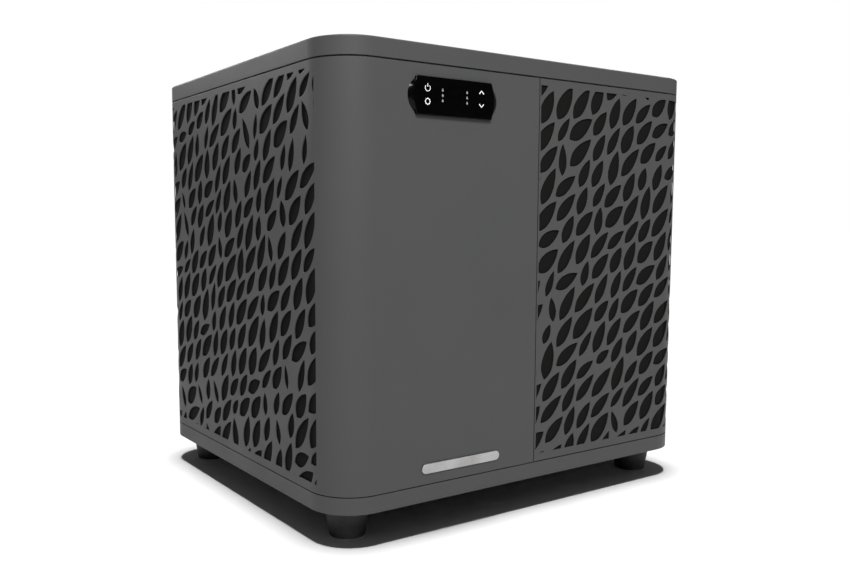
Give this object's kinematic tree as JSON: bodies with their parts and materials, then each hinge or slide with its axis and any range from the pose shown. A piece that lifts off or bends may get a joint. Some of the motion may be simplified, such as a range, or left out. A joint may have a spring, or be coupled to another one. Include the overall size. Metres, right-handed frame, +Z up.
{
  "type": "pool heat pump unit",
  "caption": "Compact heat pump for a pool: rounded steel case with leaf-pattern air inlets, top fan outlet, touch control pod, rear water unions and rubber feet.",
  "frame": {"origin": "on the floor, under the middle of the whole unit's box", "axes": "+X along the width, to the right seen from the front; +Y to the rear, where the water unions are; +Z up. The control pod faces -Y."},
  "size_m": [0.56, 0.5364, 0.533],
  "materials": {
    "body_paint": "powder coat, fine texture, satin graphite grey",
    "cover_plastic": "powder coat, fine texture, satin graphite grey",
    "rubber": "matt black rubber",
    "net": "fine black plastic net",
    "black_plastic": "matt black moulding",
    "black_gloss": "gloss black",
    "dark_steel": "black e-coat",
    "zinc": "zinc plated",
    "stainless": "stainless",
    "aluminium": "mill finish",
    "black_paint": "black enamel",
    "iron": "machined iron",
    "copper": "drawn copper tube",
    "pvc_grey": "grey pressure pipe plastic",
    "pvc_white": "white plastic",
    "titanium": "titanium tube",
    "board": "green circuit board",
    "badge": "brushed, blank"
  },
  "bodies": {
    "casing": {"accumulator": "black_paint", "badge_plate": "badge", "base_pan": "body_paint", "cable_gland": "black_plastic", "casing_posts": "dark_steel", "casing_screws": "stainless", "circuit_pipes": "copper", "compressor_grommets": "rubber", "compressor_pump_block": "iron", "compressor_shell": "black_paint", "compressor_stator": "copper", "compressor_studs": "zinc", "control_board": "board", "control_glass": "black_gloss", "control_housing": "black_gloss", "discharge_pipe": "copper", "drain_nozzle": "black_plastic", "electrical_box": "zinc", "electrical_box_cover": "zinc", "evaporator_end_plates": "zinc", "evaporator_left": "aluminium", "evaporator_return_bends": "copper", "evaporator_right": "aluminium", "exchanger_lid": "pvc_grey", "exchanger_tank": "pvc_grey", "expansion_valve": "copper", "fan_bracket": "zinc", "fan_deck": "dark_steel", "fan_guard": "black_plastic", "fan_motor": "aluminium", "foot_bolts": "zinc", "leaf_screen_left": "net", "leaf_screen_right": "net", "left_shell_front": "body_paint", "left_shell_rear_corner_grille": "body_paint", "left_shell_rear_grille": "body_paint", "left_shell_side_grille": "body_paint", "main_board": "board", "reversing_valve_body": "copper", "right_shell_front_corner_grille": "body_paint", "right_shell_front_grille": "body_paint", "right_shell_rear": "body_paint", "right_shell_side_grille": "body_paint", "rubber_foot_front_left": "rubber", "rubber_foot_front_right": "rubber", "rubber_foot_rear_left": "rubber", "rubber_foot_rear_right": "rubber", "suction_pipe": "copper", "titanium_coil": "titanium", "top_cover": "cover_plastic", "union_seals": "rubber", "union_tail_inlet": "pvc_white", "union_tail_outlet": "pvc_white"},
    "fan": {"fan_blades": "black_plastic", "fan_nut": "zinc", "fan_rotor": "stainless"},
    "compressor_rotor": {"compressor_rotor": "iron"},
    "valve_spool": {"reversing_valve_spool": "stainless"},
    "inlet_nut": {"union_nut_inlet": "pvc_grey"},
    "outlet_nut": {"union_nut_outlet": "pvc_grey"}
  },
  "joints": [
    {"name": "fan_spin", "type": "hinge", "parent": "casing", "child": "fan", "pos_m": [0, -0.02375, 0.488], "axis": [0, 0, 1], "continuous": true},
    {"name": "compressor_spin", "type": "hinge", "parent": "casing", "child": "compressor_rotor", "pos_m": [-0.075, -0.04875, 0.2], "axis": [0, 0, 1], "continuous": true},
    {"name": "reversing_slide", "type": "slide", "parent": "casing", "child": "valve_spool", "axis": [1, 0, 0], "range_m": [0, 0.014]},
    {"name": "inlet_nut_turn", "type": "hinge", "parent": "casing", "child": "inlet_nut", "pos_m": [0.125, 0.23425, 0.11], "axis": [0, 1, 0], "range_deg": [0, 1080]},
    {"name": "outlet_nut_turn", "type": "hinge", "parent": "casing", "child": "outlet_nut", "pos_m": [0.125, 0.23425, 0.32], "axis": [0, 1, 0], "range_deg": [0, 1080]}
  ]
}
